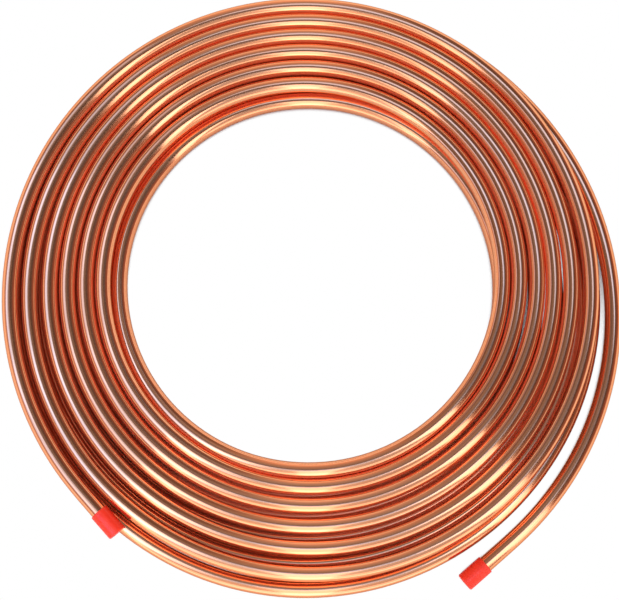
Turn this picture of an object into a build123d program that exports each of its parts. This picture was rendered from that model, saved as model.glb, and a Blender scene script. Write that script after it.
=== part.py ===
# Copper tube coil: one length of soft copper tube wound flat in two layers, with a push-on
# plastic cap on each free end. Millimetres, +Z up, floor at Z = 0, the bore's axis on Z.
#
# The tube runs from its short end inward through the upper layer, drops to the lower layer
# along the bore, and winds outward again to its long end. Its spiral is made of half-turns
# that meet on the plane X = 0, so the winding is set by where it crosses that plane: at the
# back (+Y) the turns lie close, and at the front (-Y) they have sprung apart, the outer most.
import os
from math import asin, cos, sin

from build123d import *

os.makedirs("parts", exist_ok=True)

# Tube stock, half-inch soft copper
tube_od = 12.7
tube_wall = 0.8

# Winding: the bore, the first step outward in each layer, and the gaps between its turns
bore_dia = 291.3
turns = 6
upper_lead = 9.8
lower_lead = 4.2
back_gap = 0.7
upper_front_gap = 0.3
lower_front_gap = 2.0
front_gap_growth = 1.56
layer_gap = 0.2
groove_depth = 4.0

# Short free end, on the upper layer: an arc close outside the coil, then a straight stretch
short_gap = 2.0
short_arc_deg = 132.0
short_straight = 42.0

# Long free end, on the lower layer: an arc outside the coil, a slacker one, then a straight
long_gap = 3.5
long_arc_deg = 90.0
long_slack = 12.0
long_slack_deg = 49.0
long_straight = 44.0

# Push-on caps
cap_wall = 1.0
cap_fit = 0.1
cap_end = 1.6
cap_grip = 20.5
cap_edge_r = 0.8
cap_clearance = 0.1

# Sizes that follow from these
tube_r = tube_od / 2
first_r = bore_dia / 2 + tube_r
low_z = tube_r
mid_z = low_z + tube_r + layer_gap / 2
top_z = mid_z + layer_gap / 2 + tube_r
cap_r = tube_r + cap_fit + cap_wall


def crossings(start, gap, growth, count):
    """How far from the axis a layer's turns cross the plane X = 0 on one side."""
    return [start + k * (tube_od + gap) + growth * k * (k - 1) / 2 for k in range(count)]


upper_front = crossings(first_r, upper_front_gap, front_gap_growth, turns)
upper_back = crossings(first_r + upper_lead, back_gap, 0, turns)
lower_back = crossings(first_r, back_gap, 0, turns + 1)
lower_front = crossings(first_r + lower_lead, lower_front_gap, front_gap_growth, turns)


def free_end(arcs, straight):
    """A free end's centre line, from (0, 0) along +X, bending left by each arc in turn."""
    with BuildLine() as path:
        start, heading = (0, 0), (1, 0)
        for radius, degrees in arcs:
            arc = JernArc(start, heading, radius, degrees)
            start, heading = arc @ 1, arc % 1
        Line(start, start + heading * straight)
    return path.wire()


def open_tube(path):
    """The hollow tube that follows a free end's centre line."""
    with BuildSketch(Plane(path @ 0, z_dir=path % 0)) as section:
        Circle(tube_r)
        Circle(tube_r - tube_wall, mode=Mode.SUBTRACT)
    return sweep(section.sketch, path, mode=Mode.PRIVATE)


def climbing_plane(start, x_dir, line):
    """The plane of a free end, which climbs so that its cap clears what lies under it."""
    cap_mouth = line @ 1 - (line % 1) * cap_grip
    climb = asin((cap_r + cap_clearance - tube_r) / cap_mouth.Y)
    y_dir = Vector(0, -cos(climb), sin(climb))
    return Plane(start, x_dir=x_dir, z_dir=Vector(x_dir).cross(y_dir))


# Both free ends start at the back, the short one to the left and the long one to the right,
# and run round to the front
short_arc_r = (upper_back[-1] + upper_front[-1] + tube_od + short_gap) / 2
short_line = free_end([(short_arc_r, short_arc_deg)], short_straight)
short_plane = climbing_plane((0, upper_back[-1], top_z), (-1, 0, 0), short_line)
short_path = short_plane.location * short_line

long_arc_r = (lower_back[-1] + lower_front[-1] + tube_od + long_gap) / 2
long_arcs = [(long_arc_r, long_arc_deg), (long_arc_r + long_slack, long_slack_deg)]
long_line = free_end(long_arcs, long_straight)
long_plane = climbing_plane((0, lower_back[-1], low_z), (1, 0, 0), long_line)
long_path = long_plane.location * long_line

# The tube: half-turns that start at the front and swing round the right side (+1) or the left
# (-1), webs that join them below their grooves and lap over the plane X = 0, the half-turn that
# drops along the bore, and the free ends
with BuildPart() as copper_tube:
    for side, fronts, backs, tube_z, face_side in (
        (1, upper_front, upper_back, top_z, 1),
        (-1, upper_front[1:], upper_back, top_z, 1),
        (1, lower_front, lower_back, low_z, -1),
        (-1, lower_front, lower_back[1:], low_z, -1),
    ):
        half_turns = [((back - front) / 2, (back + front) / 2) for front, back in zip(fronts, backs)]
        for centre_y, radius in half_turns:
            with BuildSketch(Plane.YZ):
                with Locations((centre_y - radius, tube_z)):
                    Circle(tube_r)
            revolve(axis=Axis((0, centre_y, 0), (0, 0, side)), revolution_arc=180)
        inner_y, inner_r = half_turns[0]
        outer_y, outer_r = half_turns[-1]
        groove_z = tube_z + face_side * (tube_r - groove_depth)
        with BuildSketch(Plane.XY.offset(mid_z)):
            with Locations((0, outer_y)):
                Circle(outer_r - tube_r / 2)
            with Locations((0, inner_y)):
                Circle(inner_r + tube_r / 2, mode=Mode.SUBTRACT)
            side_align = Align.MIN if side > 0 else Align.MAX
            with Locations((-side * tube_r, 0)):
                Rectangle(2 * outer_r, 4 * outer_r, align=(side_align, Align.CENTER), mode=Mode.INTERSECT)
        extrude(amount=groove_z - mid_z)
    with BuildSketch(Plane.YZ):
        with Locations((-first_r, top_z)):
            Circle(tube_r)
    drop_axis = Axis((0, 0, mid_z), (0, low_z - top_z, -2 * first_r))
    revolve(axis=drop_axis, revolution_arc=180)
    for path in (short_path, long_path):
        add(open_tube(path))
copper_tube.part.label = "copper_tube"
export_step(copper_tube.part, "parts/copper_tube.step")

# The caps: each closed end sits on the tube's end, and the skirt grips the tube behind it
for name, path in (("short_end_cap", short_path), ("long_end_cap", long_path)):
    tube_end = Plane(path @ 1, z_dir=path % 1)
    skirt = tube_end.offset(-cap_grip)
    with BuildPart() as cap:
        with BuildSketch(skirt):
            Circle(cap_r)
        extrude(amount=cap_grip + cap_end)
        closed_face = cap.faces().sort_by(Axis(tube_end.origin, tube_end.z_dir))[-1]
        fillet(closed_face.edges(), cap_edge_r)
        with BuildSketch(skirt):
            Circle(cap_r - cap_wall)
        extrude(amount=cap_grip, mode=Mode.SUBTRACT)
    cap.part.label = name
    export_step(cap.part, f"parts/{name}.step")
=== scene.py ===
# %% [markdown]
# Coil of soft copper tube
#
# This lesson dresses one part: a length of half-inch copper tube, wound flat in two layers and
# closed by a red cap at each end. The solid model already holds the sizes. Here the tube gets
# its true round turns, its bright drawn finish and the light of a small studio.

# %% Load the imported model
import math

import bpy
import numpy as np
from mathutils import Matrix, Vector


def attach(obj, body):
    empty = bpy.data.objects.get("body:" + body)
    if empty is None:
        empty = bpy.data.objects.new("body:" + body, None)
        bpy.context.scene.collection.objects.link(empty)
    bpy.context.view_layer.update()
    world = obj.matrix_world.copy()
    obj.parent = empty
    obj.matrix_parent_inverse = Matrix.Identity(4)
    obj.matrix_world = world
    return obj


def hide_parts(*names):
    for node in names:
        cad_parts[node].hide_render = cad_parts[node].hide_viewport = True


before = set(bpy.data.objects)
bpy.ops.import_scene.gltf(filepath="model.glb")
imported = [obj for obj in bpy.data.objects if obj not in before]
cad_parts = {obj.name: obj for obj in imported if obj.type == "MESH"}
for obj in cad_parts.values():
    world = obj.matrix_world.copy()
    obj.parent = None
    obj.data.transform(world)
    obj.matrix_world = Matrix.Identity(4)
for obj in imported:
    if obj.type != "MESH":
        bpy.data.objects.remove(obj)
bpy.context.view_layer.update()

# %% [markdown]
# The tube stock
#
# Everything on the coil follows from the tube: the turns lie about one diameter apart, and the
# two layers lie one diameter above each other. Lengths are in metres, so a size in millimetres
# is multiplied by mm.

# %% Tube stock
mm = 0.001
tube_r = 6.35 * mm
tube_bore_r = 5.55 * mm
layer_gap = 0.2 * mm
low_z = tube_r
top_z = 3 * tube_r + layer_gap
print("layers at heights", round(low_z / mm, 2), "and", round(top_z / mm, 2), "mm")

# %% [markdown]
# The winding
#
# The tube starts at its short end, runs inward round the upper layer, drops to the floor along
# the open middle and winds outward again to its long end. It turns clockwise all the way, so one
# count of turns can say where on the tube a point is: below 0 is the upper layer, and above one
# half is the lower one.
#
# A spiral with an even pitch would look machine made. On the real coil the turns lie close at the
# back and have sprung apart at the front, so the winding is set by two laws: how far out the tube
# crosses the back, and how far out it crosses the front. In the upper layer the middle turns lie
# a little loose at the back, and the outermost hugs the others at the front.

# %% Where the upper layer crosses the back and the front
first_r = 152.0 * mm
back_pitch = 13.4 * mm
front_growth = 0.78 * mm
upper_back_start = 3.1 * mm
upper_front_pitch = 13.0 * mm
loose_depth = 1.5 * mm
loose_middle = 2.7
loose_reach = 2.4
hug_depth = 5.0 * mm
hug_from = 5


def upper_back(n):
    """Upper layer, n turns out from the front of the innermost turn."""
    loose = loose_depth * np.maximum(1 - ((n - loose_middle) / loose_reach) ** 2, 0)
    return first_r + upper_back_start + back_pitch * n + loose


def upper_front(n):
    hug = hug_depth * np.maximum(n - hug_from, 0) ** 2
    return first_r + upper_front_pitch * n + front_growth * n * (n - 1) - hug


print("upper layer's rim at the back", round(float(upper_back(5.5)) / mm, 1), "mm")

# %% Where the lower layer crosses them
lower_front_start = 4.2 * mm
lower_front_pitch = 14.7 * mm


def lower_back(n):
    """Lower layer, n turns out from the back of the innermost turn."""
    return first_r + back_pitch * n


def lower_front(n):
    k = n - 0.5
    return first_r + lower_front_start + lower_front_pitch * k + front_growth * k * (k - 1)


print("lower layer's rim at the front", round(float(lower_front(5.5)) / mm, 1), "mm")

# %% [markdown]
# One turn
#
# Between the back and the front the radius follows a sine, which makes each turn a smooth,
# slightly off-centre circle. The outer turns of the upper layer were drawn tighter than that, so
# they are pulled in at the right, the left and the front.

# %% The shape of a turn
pulled_right = 3.4 * mm
pulled_left = 1.2 * mm
pulled_front = 1.2 * mm
pulled_from = 2.4
pulled_over = 1.6


def off_centre_circle(back, front, angle):
    """A turn's distance from the axis, from where it crosses the back and the front."""
    return (back + front) / 2 + (back - front) / 2 * np.sin(angle)


def soft_step(x):
    """Climbs from 0 to 1 and starts and stops softly."""
    x = np.clip(x, 0, 1)
    return x * x * (3 - 2 * x)


def pulled_in(n, angle):
    """How far the upper layer's outer turns lie inside that circle, most of all at the right."""
    right = pulled_right * np.maximum(np.cos(angle), 0) ** 2
    left = pulled_left * np.maximum(-np.cos(angle), 0) ** 2
    front = pulled_front * np.maximum(-np.sin(angle), 0) ** 2
    return soft_step((n - pulled_from) / pulled_over) * (right + left + front)


print("pulled in at the right", round(float(pulled_in(5.25, 0.0)) / mm, 1), "mm")

# %% [markdown]
# The line of the tube
#
# The drop from the upper to the lower layer needs room, so the first turns of the lower layer are
# pushed outward beside it. The long end hugs the coil for a while before it leaves, and presses the
# outer turns beside it inward. The two outermost turns are drawn in below the short end too. At the
# front right the lower turns have slipped into the gaps of the upper ones. All of these are soft
# bumps on the spiral that fade from turn to turn.

# %% The turns, as radius and angle
short_end_turns = 5.5 + 134.0 / 360
long_end_turns = 6.5 + 143.0 / 360
turn_step = 1 / 720
turns = np.arange(-short_end_turns, long_end_turns, turn_step)
angle = math.radians(-90) - 2 * math.pi * turns
upper_n = -turns
lower_n = turns - 0.5
upper_r = off_centre_circle(upper_back(upper_n), upper_front(upper_n), angle)
upper_r -= pulled_in(upper_n, angle)
lower_r = off_centre_circle(lower_back(lower_n), lower_front(lower_n), angle)
print("points on the wound line", len(turns))

# %% Bumps on the lower layer
beside_the_drop = ((0.69, 1.69, 2.69, 3.69), 4.7 * mm, 0.60, 0.17)
beside_the_long_end = ((5.114, 4.114, 3.114), -3.2 * mm, 0.55, 0.07)
slipped_at_the_right = ((4.30, 3.30, 2.30, 1.30, 0.30), 4.2 * mm, 0.97, 0.12)
below_the_short_end = ((5.66, 4.66), -3.6 * mm, 0.42, 0.12)


def bumps(n, places, size, fade, width):
    """Soft bumps at some places along the winding, each smaller than the one before."""
    height = np.zeros_like(n)
    for count, place in enumerate(places):
        height += size * fade**count * np.exp(-(((n - place) / width) ** 2))
    return height


for group in (beside_the_drop, beside_the_long_end, slipped_at_the_right, below_the_short_end):
    lower_r += bumps(lower_n, *group)
print("largest bump", round(float(bumps(lower_n, *beside_the_drop).max()) / mm, 1), "mm")

# %% The long end hugs the coil before it leaves
leave_from = 6
leave_over = 0.36
leave_skew = 0.75
leave_depth = 4.8 * mm
late_leave = np.clip((lower_n - leave_from) / leave_over, 0, 1) ** leave_skew
lower_r -= leave_depth * np.sin(math.pi * late_leave) ** 2
radius = np.where(turns < 0, upper_r, np.where(turns < 0.5, first_r, lower_r))
print("long end leaves the coil at", round(float(radius[-1]) / mm, 1), "mm from the axis")

# %% [markdown]
# Heights, ends and softening
#
# The tube drops to the lower layer along the open middle. Each free end rises a little, so that its
# thicker cap clears what lies under it, and finishes in a straight stretch, where the cap sits. At
# the end the line is averaged over a few centimetres, because a tube bends in soft curves and a
# polished one shows every kink.

# %% Height of the line
drop_start = -0.042
drop_over = 0.375
cap_lift = 1.2 * mm
lift_over = 0.25
drop = soft_step((turns - drop_start) / drop_over)
short_lift = cap_lift * soft_step((-turns - short_end_turns + lift_over) / lift_over)
long_lift = cap_lift * soft_step((turns - long_end_turns + lift_over) / lift_over)
height = top_z + (low_z - top_z) * drop + short_lift + long_lift
line = np.stack([radius * np.cos(angle), radius * np.sin(angle), height], axis=1)
print("line's heights", round(height.min() / mm, 2), "to", round(height.max() / mm, 2), "mm")

# %% Straight ends, then soften and space the points evenly
short_straight = 40.0 * mm
long_straight = 46.0 * mm
fine_step = 1.0 * mm
soft_reach = 22
ring_step = 7.4 * mm


def evenly(points, step):
    """Points a given step apart along a line of points."""
    gaps = np.linalg.norm(np.diff(points, axis=0), axis=1)
    along = np.concatenate([[0], np.cumsum(gaps)])
    count = int(round(along[-1] / step)) + 1
    places = np.linspace(0, along[-1], count)
    return np.stack([np.interp(places, along, points[:, k]) for k in range(3)], axis=1)


def straight_on(points, length):
    """Adds a level straight stretch at the line's last end."""
    heading = points[-1] - points[-2]
    heading[2] = 0
    heading /= np.linalg.norm(heading)
    places = np.linspace(0.02, 1, 25) * length
    return np.concatenate([points, points[-1] + np.outer(places, heading)])


def softened(points, reach):
    """Averages each point with its neighbours; the line runs straight past both ends."""
    weights = np.hanning(2 * reach + 3)[1:-1]
    weights /= weights.sum()
    past = np.arange(1, reach + 1)[:, None]
    before = points[0] - past[::-1] * (points[1] - points[0])
    after = points[-1] + past * (points[-1] - points[-2])
    longer = np.concatenate([before, points, after])
    return np.stack([np.convolve(longer[:, k], weights, "valid") for k in range(3)], axis=1)


line = straight_on(straight_on(line, long_straight)[::-1], short_straight)[::-1]
line = softened(evenly(line, fine_step), soft_reach)
line = evenly(line, ring_step)
tube_length = (len(line) - 1) * np.linalg.norm(line[1] - line[0])
print("rings", len(line), "tube length", round(tube_length, 2), "m")

# %% [markdown]
# The tube's skin
#
# A curve with a round bevel is the quick way to make a tube. Here the rings are made one by one,
# because the finish needs a map in metres and the ends need open bores. A round section is carried
# along the line. It stays level, because the tube was wound flat, so each ring needs only the
# direction of travel and the vertical. The ring starts at the tube's underside, which keeps the
# seam of the map out of sight. The map runs along the tube, then round it.

# %% Sweep the section
sides = 44


def ring_frames(points):
    """The direction of travel at each point, and the ring's two axes across it."""
    travel = np.gradient(points, axis=0)
    travel /= np.linalg.norm(travel, axis=1)[:, None]
    across = np.cross(travel, (0, 0, 1))
    across /= np.linalg.norm(across, axis=1)[:, None]
    return travel, across, np.cross(across, travel)


travel, across, upward = ring_frames(line)
round_angle = -math.pi / 2 + 2 * math.pi * np.arange(sides) / sides


def rings(points, across, upward, radius):
    """One ring of points round each place on the line."""
    out = np.cos(round_angle)[None, :, None] * across[:, None, :]
    out = out + np.sin(round_angle)[None, :, None] * upward[:, None, :]
    return points[:, None, :] + radius * out


bore_rings = 6
first = slice(None, bore_rings)
last = slice(-bore_rings, None)
skin = rings(line, across, upward, tube_r)
first_bore = rings(line[first], across[first], upward[first], tube_bore_r)
last_bore = rings(line[last], across[last], upward[last], tube_bore_r)
sleeve = np.concatenate([first_bore[::-1], skin, last_bore[::-1]])
print("rings with the open ends", len(sleeve))

# %% Make the mesh, with its map
sharp_angle = math.radians(50)


def sleeve_map(along, sides, round_width):
    """Metres along and round the sleeve at each corner of its faces."""
    here = np.arange(sides)
    u = np.stack([along[:-1], along[:-1], along[1:], along[1:]], axis=1)
    u = np.repeat(u[:, None, :], sides, axis=1)
    v = np.stack([here, here + 1, here + 1, here], axis=1) * round_width / sides
    v = np.repeat(v[None, :, :], len(along) - 1, axis=0)
    flat = np.stack([u, v], axis=3).reshape(-1, 2)
    end_faces = np.zeros((2 * sides, 2))
    return np.concatenate([flat, end_faces])


def sleeve_mesh(name, sleeve, along, round_width):
    """A closed mesh from rings of points, with its map."""
    count, sides = sleeve.shape[:2]
    ring = np.arange(count - 1)[:, None] * sides
    here = np.arange(sides)[None, :]
    beside = (here + 1) % sides
    corners = [ring + here, ring + beside, ring + sides + beside, ring + sides + here]
    faces = np.stack(corners, axis=2).reshape(-1, 4).tolist()
    faces.append(list(range(sides))[::-1])
    faces.append(list(range((count - 1) * sides, count * sides)))
    mesh = bpy.data.meshes.new(name)
    mesh.from_pydata(sleeve.reshape(-1, 3).tolist(), [], faces)
    mesh.polygons.foreach_set("use_smooth", [True] * len(mesh.polygons))
    mesh.set_sharp_from_angle(angle=sharp_angle)
    layer = mesh.uv_layers.new(name="tube_map")
    flat = sleeve_map(along, sides, round_width)
    layer.data.foreach_set("uv", flat.astype(np.float32).ravel())
    mesh.validate()
    return mesh


steps = np.linalg.norm(np.diff(sleeve.mean(axis=1), axis=0), axis=1)
along = np.concatenate([[0], np.cumsum(steps)])
tube_mesh = sleeve_mesh("wound_tube", sleeve, along, 2 * math.pi * tube_r)
wound_tube = bpy.data.objects.new("wound_tube", tube_mesh)
bpy.context.collection.objects.link(wound_tube)
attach(wound_tube, "root")
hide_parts("copper_tube")
print("tube triangles", sum(len(p.vertices) - 2 for p in tube_mesh.polygons))

# %% [markdown]
# Bright drawn copper
#
# New copper tube is polished by the die that it was drawn through. It mirrors the room, reddens
# with every bounce between two turns, and carries faint lines along its length. The colour is
# the mirror's tint, in three close tones. Long soft streaks move between them, and a fine grain
# that is stretched along the tube breaks the gloss.
#
# Deep between two turns the light has touched copper so often that only red is left. A renderer
# stops after a few bounces and leaves such a groove black. Ambient occlusion finds the grooves
# instead, and there deep red is painted into the copper's colour and the copper is made partly
# matt, as painted bounce light. The specular tint keeps the edges of the tube copper coloured too,
# where a plain mirror would go white.

# %% Material helpers
def new_material(name):
    material = bpy.data.materials.new(name)
    material.use_nodes = True
    nodes = material.node_tree.nodes
    return material, nodes, material.node_tree.links, nodes["Principled BSDF"]


def stretched_noise(nodes, links, source, stretch, scale, detail):
    """Noise that is longer one way than the other."""
    mapping = nodes.new("ShaderNodeMapping")
    mapping.inputs["Scale"].default_value = stretch
    noise = nodes.new("ShaderNodeTexNoise")
    noise.inputs["Scale"].default_value = scale
    noise.inputs["Detail"].default_value = detail
    links.new(source, mapping.inputs["Vector"])
    links.new(mapping.outputs["Vector"], noise.inputs["Vector"])
    return noise.outputs["Fac"]


def ramp(nodes, links, source, stops):
    """Turns a 0 to 1 value into colours at the given places."""
    node = nodes.new("ShaderNodeValToRGB")
    elements = node.color_ramp.elements
    while len(elements) < len(stops):
        elements.new(0.5)
    for element, (place, colour) in zip(elements, stops):
        element.position = place
        element.color = (*colour, 1)
    links.new(source, node.inputs["Fac"])
    return node.outputs["Color"]


def spread(nodes, links, source, low, high, start=0.3, stop=0.7):
    """Turns the part of a value between start and stop into a range from low to high."""
    node = nodes.new("ShaderNodeMapRange")
    node.inputs["From Min"].default_value = start
    node.inputs["From Max"].default_value = stop
    node.inputs["To Min"].default_value = low
    node.inputs["To Max"].default_value = high
    links.new(source, node.inputs["Value"])
    return node.outputs["Result"]


print("helpers for noise, colours and ranges are ready")

# %% Helpers for corners and skins
openness_samples = 12
skin_depth = 0.05 * mm


def openness(nodes, distance):
    """How open a place is, from 0 in a closed corner to 1 in the open."""
    node = nodes.new("ShaderNodeAmbientOcclusion")
    node.samples = openness_samples
    node.inputs["Distance"].default_value = distance
    return node.outputs["AO"]


def raise_skin(nodes, links, shader, source, strength):
    """Lets a value raise the skin by a hair's breadth."""
    bump = nodes.new("ShaderNodeBump")
    bump.inputs["Strength"].default_value = strength
    bump.inputs["Distance"].default_value = skin_depth
    links.new(source, bump.inputs["Height"])
    links.new(bump.outputs["Normal"], shader.inputs["Normal"])


print("skins are raised by up to", round(skin_depth / mm, 2), "mm")

# %% Copper
copper_tones = [(0.3, (0.96, 0.35, 0.15)), (0.55, (0.98, 0.41, 0.20)), (0.75, (0.99, 0.47, 0.26))]
painted_bounce_red = (1.0, 0.16, 0.04, 1)
groove_reach = 6 * mm
groove_range = (0.20, 0.70)
edge_tint = (1.0, 0.70, 0.50, 1)
streak_stretch = (3.0, 260.0, 1.0)
grain_stretch = (40.0, 2600.0, 1.0)


def drawn_copper():
    material, nodes, links, shader = new_material("drawn_copper")
    tube_map = nodes.new("ShaderNodeUVMap")
    tube_map.uv_map = "tube_map"
    metres = tube_map.outputs["UV"]
    streaks = stretched_noise(nodes, links, metres, streak_stretch, 1.0, 3.0)
    bare = openness(nodes, groove_reach)
    # painted bounce light: where ambient occlusion finds a groove, deep red is painted into the base
    # colour
    groove = nodes.new("ShaderNodeMixRGB")
    groove.inputs["Color1"].default_value = painted_bounce_red
    links.new(spread(nodes, links, bare, 0.0, 1.0, *groove_range), groove.inputs["Fac"])
    links.new(ramp(nodes, links, streaks, copper_tones), groove.inputs["Color2"])
    links.new(groove.outputs["Color"], shader.inputs["Base Color"])
    grain = stretched_noise(nodes, links, metres, grain_stretch, 1.0, 2.0)
    links.new(spread(nodes, links, grain, 0.08, 0.14), shader.inputs["Roughness"])
    raise_skin(nodes, links, shader, grain, 0.12)
    links.new(spread(nodes, links, bare, 0.15, 0.95, *groove_range), shader.inputs["Metallic"])
    shader.inputs["Specular Tint"].default_value = edge_tint
    return material


copper = drawn_copper()
wound_tube.data.materials.append(copper)
print("finish", copper.name)

# %% [markdown]
# The end caps
#
# Each free end wears a soft plastic cap that keeps dirt out of the tube. It is moulded as one cup:
# a thin skirt with a rounded lip, and a closed end with a soft edge and a shallow dish. It could be
# cut from cylinders, but a turned profile gives that shape directly. So the cup is spun from its
# half section and set on the tube's end by the direction in which the tube leaves.

# %% Profile of the cup
cap_r = 7.45 * mm
cap_inner_r = 6.42 * mm
cap_grip = 20.5 * mm
cap_end = 1.6 * mm
lip_r = (cap_r - cap_inner_r) / 2
edge_r = 1.3 * mm
dish_z = cap_end - 0.25 * mm


def rounded(centre, radius, start, stop, count=9):
    """Points on an arc of the half section, as (distance out, distance along)."""
    sweep = np.radians(np.linspace(start, stop, count))
    return [(centre[0] + radius * math.cos(a), centre[1] + radius * math.sin(a)) for a in sweep]


profile = [(0.0, 0.0), (cap_inner_r, 0.0)]
profile += rounded((cap_inner_r + lip_r, -cap_grip + lip_r), lip_r, 180, 360)
profile += rounded((cap_r - edge_r, cap_end - edge_r), edge_r, 0, 90)
profile += [(cap_r * 0.62, cap_end), (cap_r * 0.5, dish_z), (0.0, dish_z)]
print("points in the cup's half section", len(profile))

# %% Spin a profile round its axis
def spun(name, profile, matrix, sides=64):
    """A turned piece; its profile starts and ends on the axis."""
    mesh = bpy.data.meshes.new(name)
    points = []
    faces = []
    for out, along in profile[1:-1]:
        for k in range(sides):
            a = 2 * math.pi * k / sides
            points.append(matrix @ Vector((out * math.cos(a), out * math.sin(a), along)))
    rows = len(profile) - 2
    for row in range(rows - 1):
        for k in range(sides):
            here = row * sides
            turn = (k + 1) % sides
            faces.append((here + k, here + turn, here + sides + turn, here + sides + k))
    points.append(matrix @ Vector((0, 0, profile[0][1])))
    points.append(matrix @ Vector((0, 0, profile[-1][1])))
    for k in range(sides):
        turn = (k + 1) % sides
        faces.append((rows * sides, turn, k))
        faces.append((rows * sides + 1, (rows - 1) * sides + k, (rows - 1) * sides + turn))
    mesh.from_pydata(points, [], faces)
    mesh.polygons.foreach_set("use_smooth", [True] * len(mesh.polygons))
    mesh.set_sharp_from_angle(angle=sharp_angle)
    return bpy.data.objects.new(name, mesh)


def end_matrix(place, heading, across, upward):
    """Places the cup's axis along the heading, at the tube's end."""
    columns = np.stack([across, upward, heading], axis=1)
    matrix = Matrix(columns.tolist()).to_4x4()
    matrix.translation = Vector(place.tolist())
    return matrix


short_cap = spun("short_cap", profile, end_matrix(line[0], -travel[0], -across[0], upward[0]))
long_cap = spun("long_cap", profile, end_matrix(line[-1], travel[-1], across[-1], upward[-1]))
print("faces in a cup", len(short_cap.data.polygons))

# %% Put the cups in place
for cap, node in ((short_cap, "short_end_cap"), (long_cap, "long_end_cap")):
    bpy.context.collection.objects.link(cap)
    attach(cap, "root")
    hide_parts(node)

# %% [markdown]
# Red plastic
#
# The caps are moulded polyethylene: a strong orange red, a little waxy, with a broad soft gloss.
# A plain colour would look like paint. So the colour gets a faint mottle, the skin a slight
# waviness, and a little light passes under the surface.

# %% Red plastic
plastic_tones = [(0.3, (0.95, 0.034, 0.012)), (0.7, (1.0, 0.048, 0.018))]
even = (1.0, 1.0, 1.0)


def moulded_plastic():
    material, nodes, links, shader = new_material("red_plastic")
    place = nodes.new("ShaderNodeTexCoord").outputs["Object"]
    mottle = stretched_noise(nodes, links, place, even, 180.0, 3.0)
    links.new(ramp(nodes, links, mottle, plastic_tones), shader.inputs["Base Color"])
    skin = stretched_noise(nodes, links, place, even, 900.0, 2.0)
    links.new(spread(nodes, links, skin, 0.28, 0.38), shader.inputs["Roughness"])
    raise_skin(nodes, links, shader, skin, 0.15)
    shader.inputs["Specular IOR Level"].default_value = 0.3
    shader.inputs["Subsurface Weight"].default_value = 0.08
    shader.inputs["Subsurface Radius"].default_value = (0.003, 0.0006, 0.0004)
    return material


red_plastic = moulded_plastic()
for cap in (short_cap, long_cap):
    cap.data.materials.append(red_plastic)
print("finish", red_plastic.name)

# %% [markdown]
# The floor
#
# The coil lies on a plain pale table, and the background is pure white. The floor is pale paint
# that takes the shadow. Where it lies open it shines for the eye and for mirrors, at a strength of
# one, which is white. Ambient occlusion tells how open a place is: under the coil and between its
# turns it is closed in, so there only the paint and its shadow are left, and there the paint itself
# is painted dark red, as painted shade and painted red bounce light from the copper. A short reach
# is used for the eye, and a long one for mirrors, so the copper sees the table fade close to the
# coil.

# %% Floor finish
slit_reach = 6 * mm
table_reach = 150 * mm
paint_and_painted_shade = [(0.42, (0.25, 0.05, 0.02)), (0.72, (0.62, 0.54, 0.48))]
open_to_eye = (0.38, 0.52)
open_to_mirror = (0.84, 1.0)


def combine(nodes, links, first, second, operation):
    """Adds or multiplies two values and keeps the result between 0 and 1."""
    node = nodes.new("ShaderNodeMath")
    node.operation = operation
    node.use_clamp = True
    links.new(first, node.inputs[0])
    links.new(second, node.inputs[1])
    return node.outputs[0]


def white_floor():
    material, nodes, links, shader = new_material("white_floor")
    near = openness(nodes, slit_reach)
    far = openness(nodes, table_reach)
    # painted shade: the paint is painted dark red where the floor is closed in, for shade and red
    # bounce light
    links.new(ramp(nodes, links, near, paint_and_painted_shade), shader.inputs["Base Color"])
    shader.inputs["Roughness"].default_value = 0.9
    shader.inputs["Specular IOR Level"].default_value = 0.0
    glow = nodes.new("ShaderNodeEmission")
    rays = nodes.new("ShaderNodeLightPath").outputs
    for_eye = spread(nodes, links, near, 0.0, 1.0, *open_to_eye)
    for_mirror = spread(nodes, links, far, 0.0, 1.0, *open_to_mirror)
    mirrored = combine(nodes, links, rays["Is Glossy Ray"], rays["Is Transmission Ray"], "ADD")
    mirrored = combine(nodes, links, mirrored, for_mirror, "MULTIPLY")
    seen = combine(nodes, links, rays["Is Camera Ray"], for_eye, "MULTIPLY")
    mix = nodes.new("ShaderNodeMixShader")
    links.new(combine(nodes, links, seen, mirrored, "ADD"), mix.inputs[0])
    links.new(shader.outputs[0], mix.inputs[1])
    links.new(glow.outputs[0], mix.inputs[2])
    links.new(mix.outputs[0], nodes["Material Output"].inputs["Surface"])
    return material


print("the table fades for mirrors within", round(table_reach / mm), "mm of the coil")

# %% Floor
floor_r = 6.0
bpy.ops.mesh.primitive_circle_add(
    vertices=96, radius=floor_r, fill_type="NGON", location=(0, 0, 0)
)
floor = bpy.context.object
floor.name = "floor"
floor.data.materials.append(white_floor())
print("floor", [round(v, 2) for v in floor.dimensions])

# %% [markdown]
# The studio light
#
# A polished tube shows its surroundings as lines along it, and every part of a ring shows another
# part of the room. Six panels hang over the coil. Each hangs where one part of the turns mirrors it
# to the eye, and draws the thin pale line along their tops there. A grid on the panel keeps its
# light off the other parts. They are bluer than daylight, because copper takes most of the blue out
# of what it mirrors.
#
# Two wide panels stand at the front, and three tall strips lean over the coil from there. A ring
# mirrors such a strip where the ring faces it and again on its far side, as a bright streak across
# all the turns. A broad fill overhead is kept out of the mirrors, so it lights only what is matt:
# the caps, the red grooves and the table.

# %% Softbox helpers
def softbox(name, place, aim, width, height, brightness, colour=(1, 1, 1), grid_deg=180):
    """A lamp panel of an even brightness, turned towards a point, with a grid that narrows it."""
    lamp = bpy.data.lights.new(name, "AREA")
    lamp.shape = "RECTANGLE"
    lamp.size = width
    lamp.size_y = height
    half = math.radians(grid_deg) / 2
    lamp.energy = brightness * math.pi * width * height * (1 - half / math.tan(half))
    lamp.color = colour
    lamp.spread = 2 * half
    obj = bpy.data.objects.new(name, lamp)
    obj.location = place
    obj.rotation_euler = (Vector(aim) - Vector(place)).to_track_quat("-Z", "Y").to_euler()
    obj.visible_camera = False
    bpy.context.collection.objects.link(obj)
    return obj


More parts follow.
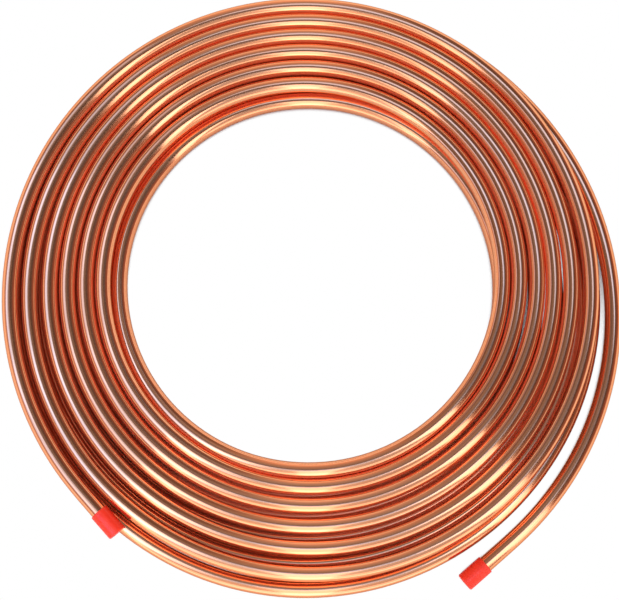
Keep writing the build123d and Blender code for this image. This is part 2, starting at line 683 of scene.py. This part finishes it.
def round_the_coil(azimuth, elevation, distance):
    """A place seen from the coil's middle; azimuth 0 is +X, and 270 is the front."""
    a = math.radians(azimuth)
    e = math.radians(elevation)
    flat = distance * math.cos(e)
    return (flat * math.cos(a), flat * math.sin(a), distance * math.sin(e))


coil_centre = (0.0, 0.0, 0.0)
sky = (0.26, 0.48, 1.0)
window = (0.82, 0.90, 1.0)
print("lamps aim at", coil_centre)

# %% Panels overhead: place, heading, width, height, brightness and the grid's degrees
overhead = {
    "left_panel": ((-0.423, 0.04, 0.36), (0.57, -0.13, -0.81), 0.40, 0.28, 3.6, 54),
    "front_left_panel": ((-0.339, -0.245, 0.36), (0.49, 0.30, -0.814), 0.44, 0.36, 4.2, 56),
    "back_left_panel": ((-0.34, 0.256, 0.36), (0.43, -0.396, -0.81), 0.36, 0.22, 2.2, 52),
    "right_panel": ((0.34, 0.0, 0.90), (-0.16, 0.0, -0.90), 1.1, 0.34, 0.45, 38),
    "back_right_panel": ((0.20, 0.25, 0.62), (-0.07, -0.12, -0.60), 0.65, 0.24, 3.3, 44),
    "front_over_panel": ((0.0, -0.28, 1.0), (0.0, 0.06, -1.0), 1.0, 0.34, 2.0, 48),
}
for name, (place, heading, width, height, brightness, grid_deg) in overhead.items():
    aim = Vector(place) + Vector(heading)
    softbox(name, place, aim, width, height, brightness, sky, grid_deg)
print("panels overhead", len(overhead))

# %% Panels and strips at the front, and the fill
front = 270
softbox("front_panel", round_the_coil(front, 18, 1.5), coil_centre, 2.4, 0.9, 1.2, window)
softbox("front_high_panel", round_the_coil(front, 50, 1.4), coil_centre, 2.0, 1.0, 0.55, window)
for azimuth, brightness in ((228, 1.3), (front, 1.3), (319, 2.3)):
    place = round_the_coil(azimuth, 45, 1.4)
    softbox(f"strip_{azimuth}", place, coil_centre, 0.24, 1.7, brightness, window)
fill = softbox("fill_panel", (0.0, 0.0, 1.4), coil_centre, 1.2, 1.2, 1.5)
fill.visible_glossy = False

# %% [markdown]
# The room
#
# The rest of what the copper mirrors is the room. A picture of a real one would do, but two ramps
# are enough and easier to tune. By height, the room is white near the floor, where it is the
# background, then warm, and it falls off to dark overhead. From left to right, a second ramp dims it
# on both sides of the middle.

# %% Room by height and by side
by_height = [
    (0.00, (1.00, 1.00, 1.00)),
    (0.22, (1.00, 1.00, 1.00)),
    (0.34, (1.00, 0.76, 0.64)),
    (0.55, (0.80, 0.60, 0.52)),
    (0.75, (0.48, 0.44, 0.44)),
    (0.90, (0.36, 0.37, 0.40)),
    (0.96, (0.28, 0.30, 0.34)),
    (1.00, (0.16, 0.19, 0.24)),
]
by_side = [
    (-1.00, (0.75, 0.66, 0.66)),
    (-0.85, (0.60, 0.54, 0.54)),
    (-0.65, (0.36, 0.33, 0.33)),
    (-0.45, (0.30, 0.28, 0.28)),
    (-0.20, (0.85, 0.85, 0.85)),
    (0.05, (1.00, 1.00, 1.00)),
    (0.24, (0.24, 0.22, 0.22)),
    (0.42, (0.20, 0.17, 0.17)),
    (0.65, (0.28, 0.17, 0.15)),
    (1.00, (0.38, 0.21, 0.18)),
]
side_stops = [((x + 1) / 2, colour) for x, colour in by_side]
print("room from pale to dark in", len(by_height), "steps")

# %% Room
shade_from = 0.22
shade_full = 0.32
world = bpy.data.worlds.new("studio_room")
bpy.context.scene.world = world
world.use_nodes = True
room_nodes = world.node_tree.nodes
room_links = world.node_tree.links
direction = room_nodes.new("ShaderNodeSeparateXYZ")
room_links.new(room_nodes.new("ShaderNodeTexCoord").outputs["Generated"], direction.inputs[0])
up = direction.outputs["Z"]
side_place = spread(room_nodes, room_links, direction.outputs["X"], 0.0, 1.0, -1.0, 1.0)
side_share = spread(room_nodes, room_links, up, 0.0, 1.0, shade_from, shade_full)
shade = room_nodes.new("ShaderNodeMixRGB")
shade.blend_type = "MULTIPLY"
room_links.new(side_share, shade.inputs["Fac"])
room_links.new(ramp(room_nodes, room_links, up, by_height), shade.inputs["Color1"])
room_links.new(ramp(room_nodes, room_links, side_place, side_stops), shade.inputs["Color2"])
room_links.new(shade.outputs["Color"], room_nodes["Background"].inputs["Color"])
print("room", world.name)

# %% [markdown]
# The camera
#
# The coil was seen from almost straight above, leaning back by a few degrees, from about a metre
# away. The lens follows from the width of the frame in pixels and the size of the open middle.

# %% Camera
frame_width = 619
lens_pixels = 1226.0
camera_tilt = math.radians(8.0)
camera_distance = 1.0
camera_aim = Vector((2.1 * mm, -14.1 * mm, 0.0))
camera_side = Vector((0, -math.sin(camera_tilt), math.cos(camera_tilt)))
camera_data = bpy.data.cameras.new("camera")
camera_data.sensor_fit = "HORIZONTAL"
camera_data.sensor_width = 36.0
camera_data.lens = lens_pixels / frame_width * camera_data.sensor_width
camera = bpy.data.objects.new("camera", camera_data)
camera.location = camera_aim + camera_distance * camera_side
camera.rotation_euler = (camera_tilt, 0, 0)
bpy.context.collection.objects.link(camera)
bpy.context.scene.camera = camera
bpy.context.scene.view_settings.view_transform = "Standard"
print("lens", round(camera_data.lens, 1), "mm")
